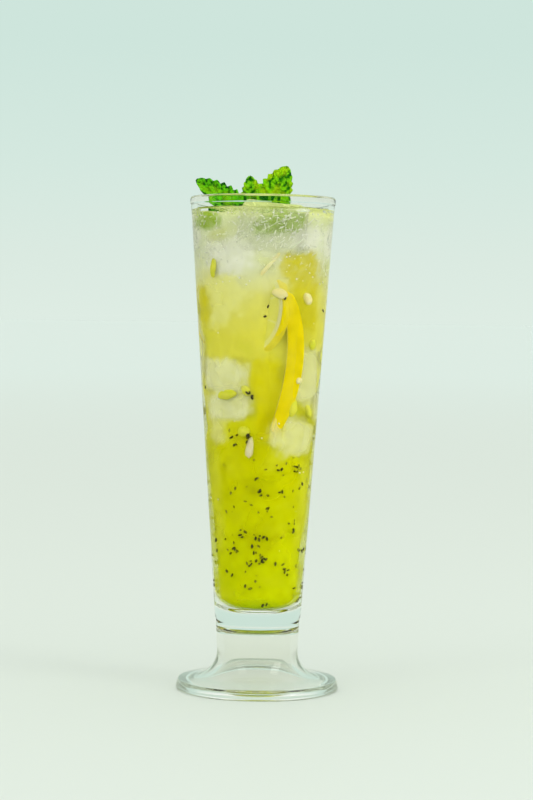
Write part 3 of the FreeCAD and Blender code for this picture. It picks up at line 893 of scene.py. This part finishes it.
def nub(name, angle, height, inset, size, turn, finish, taper=0.0):
    """A rounded, uneven lump, narrower at its top by the taper."""
    points, faces = ball(18, 24)
    centre = in_drink(angle, height, inset)
    spin = Matrix.Rotation(math.radians(angle), 3, "Z") @ Matrix.Rotation(math.radians(turn), 3, "Y")
    shaped = []
    for point in points:
        lump = 1 + 0.18 * noise.noise(point * 1.4 + centre)
        narrow = 1 - taper * (point.z + 1) / 2
        place = Vector((point.x * size[0] / 2 * narrow * lump, point.y * size[1] / 2 * narrow * lump,
                        point.z * size[2] / 2 * lump))
        shaped.append(centre + spin @ place)
    return solid(name, shaped, faces, finish, "kiwi_pulp")


def make_bits():
    pip = plain_finish("lemon_pip", sunk(226, 214, 150), sunk(214, 190, 120), 3)
    pale = plain_finish("pale_flesh", sunk(236, 224, 138), sunk(232, 210, 118), 4)
    green = plain_finish("kiwi_flesh", sunk(208, 208, 52), sunk(194, 202, 36), 5)
    nub("lemon_pip", -12, 109.5, 1.9, (4.2, 3.0, 9.4), 8, pip, taper=0.45)
    nub("lemon_pip_back", 170, 128, 2.2, (4.2, 3.0, 9.0), 60, pip, taper=0.45)
    # Bits of fruit: angle, height, inset, size, turn, finish
    for number, (angle, height, inset, size, turn, finish) in enumerate((
            (18, 177, 2.4, (7, 3, 4.4), 15, pale), (51, 175, 2.4, (4.5, 3, 6), -30, pale),
            (44, 139, 1.2, (3, 2, 3.2), 20, pale), (-20, 116.5, 2.6, (5, 3, 4.5), 10, green),
            (-40, 132.5, 2.0, (9.5, 3, 4.2), -8, green), (-17, 134.5, 2.6, (5, 3, 3.6), 60, green),
            (64, 155, 2.2, (4, 3, 5), 20, green), (66, 125, 2.0, (3.6, 3, 6.5), -20, green),
            (40, 127, 2.6, (4, 3, 8), 12, green), (-52, 188, 2.0, (3.2, 2.4, 8.4), 6, green),
            (8, 190, 3.6, (2.2, 2, 13), 38, pale), (100, 150, 2.6, (7, 3.5, 9), 30, green),
            (135, 118, 2.6, (8, 3.5, 6), 70, green), (200, 150, 2.6, (6, 3.5, 10), 20, green),
            (235, 124, 2.6, (8, 3.5, 6), 50, green), (262, 172, 2.6, (5, 3, 9), -20, green),
            (180, 186, 2.6, (6, 3, 8), 40, pale))):
        nub(f"fruit_bit_{number + 1}", angle, height, inset, size, turn, finish)


def make_ice_cracks():
    """Bright seams on the floating ice: middle, length, lean."""
    frost = plain_finish("ice_seam", colour(236, 242, 214), colour(224, 234, 190), 2)
    points, faces = ball(12, 12)
    for number, (middle, length, lean) in enumerate((
            ((-4.6, -23.3, 206.4), 9.5, -42), ((5.6, -23.5, 207.6), 17.5, 56),
            ((9.5, -23.2, 209.0), 9.0, 70))):
        lay = Matrix.Rotation(math.radians(lean), 3, "Y")
        shaped = [Vector(middle) + lay @ Vector((point.x * 0.34, point.y * 0.3, point.z * length / 2))
                  for point in points]
        solid(f"ice_seam_{number + 1}", shaped, faces, frost, "ice")


def make_bubbles():
    # Partly froth, partly painted glints: the bubbles and slivers are white specks where air and melting ice
    # would catch the light
    finish = Finish("froth")
    finish.surface(Base_Color=colour(252, 254, 242), Roughness=0.25, IOR=1.2, Alpha=0.8)
    chance = random.Random(5)
    top = LEVEL - 1.5
    bubbles = crowded(chance, 420, (0, 360), top, -32, 1.6, (0.35, 1.0))
    bubbles += even(chance, 22, (0, 360), (45, 170), (0.35, 0.8))
    strewn("air_bubbles", bubbles, finish.material, "juice", BUBBLE_WIDTH, (1, 1, 1), 0.5, 3, sides=10)
    # Slivers of melting ice and froth against the glass, white as painted glints, with more of them in front
    # of the floating ice
    slivers = [in_drink(chance.uniform(0, 360), top - 24 * chance.random() ** 1.3, chance.uniform(0.4, 1.4))
               for _ in range(240)]
    slivers += [in_drink(chance.gauss(24, 22), top - 16 * chance.random(), chance.uniform(0.4, 1.4))
                for _ in range(90)]
    strewn("ice_slivers", slivers, finish.material, "ice", SLIVER_LENGTH, SLIVER_SHAPE, 0.5, 8, sides=10)


# ---------------- studio

def make_floor():
    finish = Finish("studio_floor")
    spread = finish.add("ShaderNodeVectorMath", {0: finish.place}, output="Value", operation="LENGTH")
    tone = finish.blend(spread.ramp(0.2, 6.0), colour(207, 217, 206), colour(211, 225, 216))
    finish.surface(Base_Color=tone, Roughness=0.7, IOR=1.3)
    points, faces = lathed([(0, 0), (300, 0), (3000, 0), (60000, 0)], 64)
    mesh = bpy.data.meshes.new("studio_floor")
    mesh.from_pydata([tuple(point * MM) for point in points], [], [face[::-1] for face in faces])
    mesh.materials.append(finish.material)
    floor = bpy.data.objects.new("studio_floor", mesh)
    bpy.context.scene.collection.objects.link(floor)


def make_sky():
    """The backdrop as it is seen, straight or through glass, and a plain white light for the rest."""
    world = bpy.data.worlds.new("studio")
    world.use_nodes = True
    bpy.context.scene.world = world
    sky = Graph(world.node_tree)
    direction = sky.add("ShaderNodeTexCoord", output="Generated")
    height = sky.add("ShaderNodeSeparateXYZ", {0: direction}, output=2)
    stops = [(0.0, colour(222, 236, 227)), (0.026, colour(219, 234, 225)), (0.069, colour(212, 232, 223)),
             (0.12, colour(206, 229, 220)), (0.4, colour(206, 229, 220)), (0.8, colour(246, 252, 249))]
    backdrop = sky.add("ShaderNodeValToRGB", {"Fac": height}, stops=stops)
    front = sky.add("ShaderNodeSeparateXYZ", {0: direction}, output=1)
    light = sky.add("ShaderNodeBackground", {"Color": (1, 1, 1, 1),
                                             "Strength": front.ramp(-0.9, 0.2, 1.42, 1.0)})
    seen = sky.add("ShaderNodeBackground", {"Color": backdrop, "Strength": 1.0})
    rays = [sky.add("ShaderNodeLightPath", output=ray)
            for ray in ("Is Camera Ray", "Is Glossy Ray", "Is Transmission Ray")]
    direct = 1 - sky.add("ShaderNodeLightPath", output="Diffuse Depth").ramp(0.0, 1.0)
    shown = sky.add("ShaderNodeMixShader", {0: rays[0] + (rays[1] + rays[2]) * direct, 1: light, 2: seen})
    sky.add("ShaderNodeOutputWorld", {"Surface": shown})


def make_lamps():
    for name, place, power in (("soft_box_left", (-1.1, -0.9, 1.0), 1.8),
                               ("soft_box_right", (1.2, -0.7, 0.9), 4.6)):
        lamp = bpy.data.lights.new(name, "AREA")
        lamp.shape = "RECTANGLE"
        lamp.size, lamp.size_y, lamp.energy = 0.6, 0.9, power
        box = bpy.data.objects.new(name, lamp)
        box.location = place
        box.rotation_euler = (Vector((0, 0, 0.11)) - box.location).to_track_quat("-Z", "Y").to_euler()
        bpy.context.scene.collection.objects.link(box)


def make_camera():
    scene = bpy.context.scene
    lens = bpy.data.cameras.new("camera")
    lens.lens = 100.67
    lens.clip_end = 200
    camera = bpy.data.objects.new("camera", lens)
    camera.location = (0, -1.0, 0.167)
    aim = Vector((0.0027, 0, 0.1296)) - camera.location
    camera.rotation_mode = "QUATERNION"
    camera.rotation_quaternion = aim.to_track_quat("-Z", "Y") @ Quaternion((0, 0, 1), math.radians(0.75))
    scene.collection.objects.link(camera)
    scene.camera = camera
    scene.view_settings.view_transform = "Standard"
    for kind in ("max", "glossy", "transmission"):
        setattr(scene.cycles, kind + "_bounces", LIGHT_BOUNCES)


make_camera()
make_floor()
make_sky()
make_lamps()
make_glass()
make_liquid()
make_clouds()
make_ice()
make_mint()
make_wedge()
make_wheel()
make_seeds()
make_bits()
make_ice_cracks()
make_bubbles()
